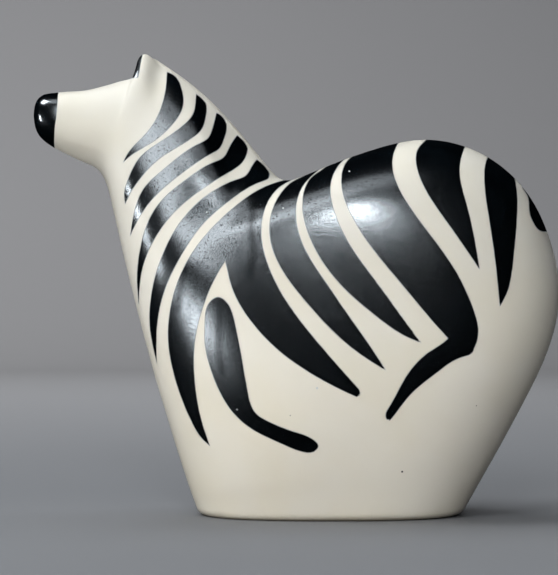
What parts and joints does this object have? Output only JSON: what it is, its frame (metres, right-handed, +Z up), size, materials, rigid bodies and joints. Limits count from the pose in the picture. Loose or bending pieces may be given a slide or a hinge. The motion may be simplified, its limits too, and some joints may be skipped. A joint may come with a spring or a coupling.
{
  "type": "zebra figurine",
  "caption": "Stylised ceramic zebra figurine: smooth rounded body and neck on a flat foot, with painted black stripes on white glaze.",
  "frame": {"origin": "centre of the bounding box in plan, on the plane that the foot stands on", "axes": "+Z up, -X towards the nose, +Y towards the figurine's right side, XZ the plane of symmetry"},
  "size_m": [0.1748, 0.0728, 0.1529],
  "materials": {
    "glaze": "glossy warm white glaze with brushed bluish black stripes"
  },
  "bodies": {
    "root": {"zebra_figurine": "glaze"}
  },
  "joints": []
}
